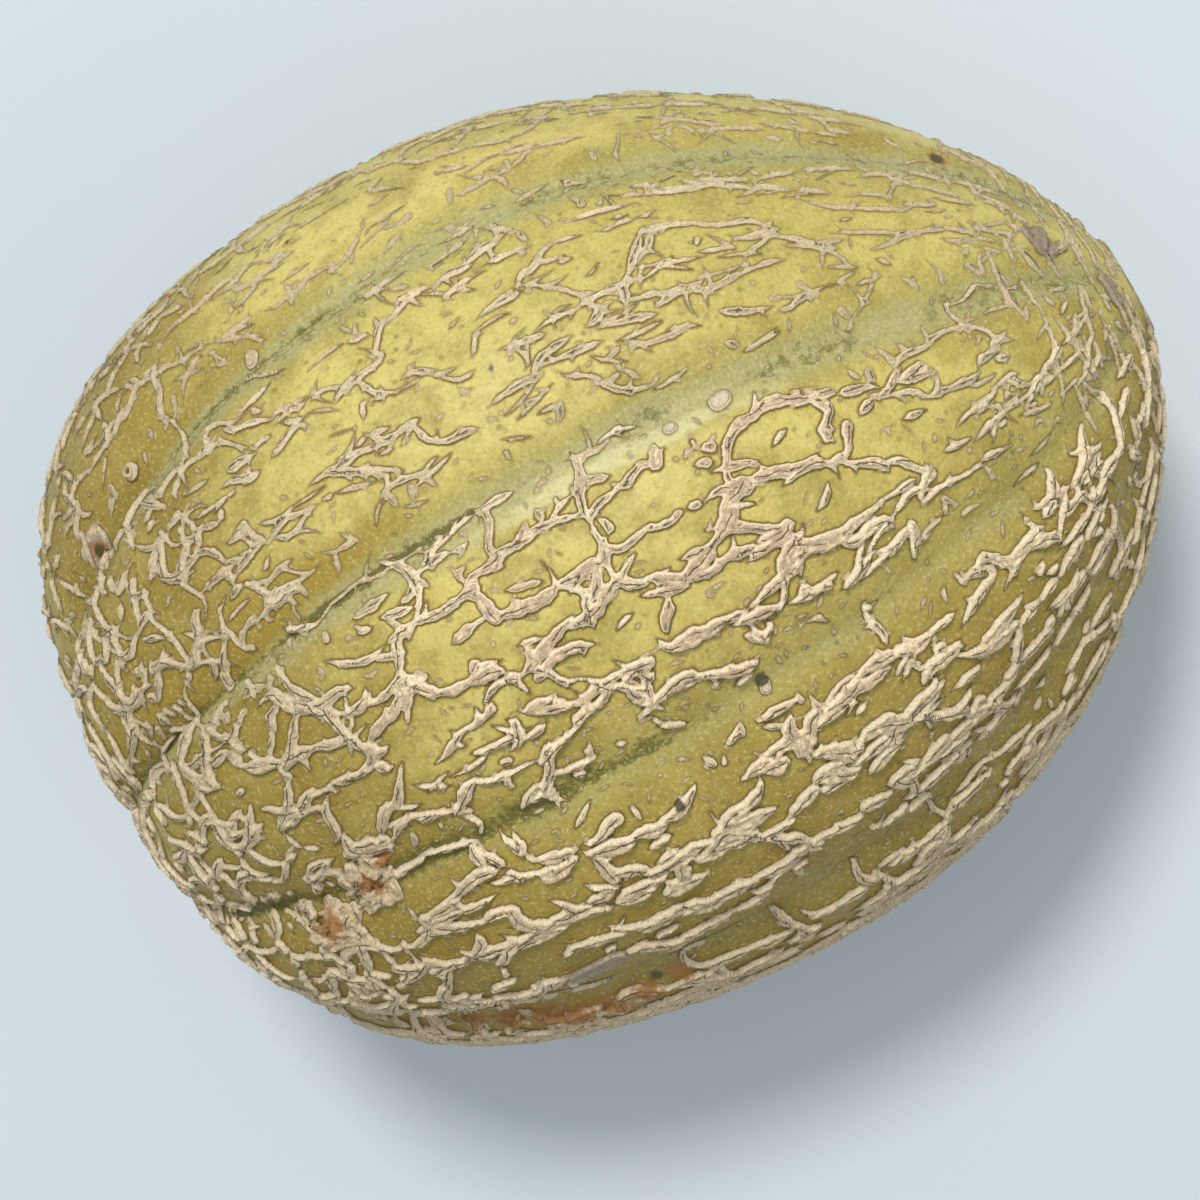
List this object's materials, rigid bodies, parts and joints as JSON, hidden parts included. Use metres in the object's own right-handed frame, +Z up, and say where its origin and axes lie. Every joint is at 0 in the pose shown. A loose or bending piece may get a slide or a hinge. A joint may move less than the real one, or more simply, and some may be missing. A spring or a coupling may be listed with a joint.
{
  "type": "cantaloupe melon",
  "caption": "Whole oblong netted cantaloupe melon with lobes, grooves and a raised corky net, resting on its flattened ground spot.",
  "frame": {"origin": "bottom centre of the bounding box, on the surface that the melon rests on", "axes": "+X along the melon's long axis towards the blossom end, +Z up"},
  "size_m": [0.1756, 0.1446, 0.1158],
  "materials": {
    "rind": "waxy yellow-green rind under a dry, matt, beige corky net"
  },
  "bodies": {
    "root": {"melon": "rind"}
  },
  "joints": []
}
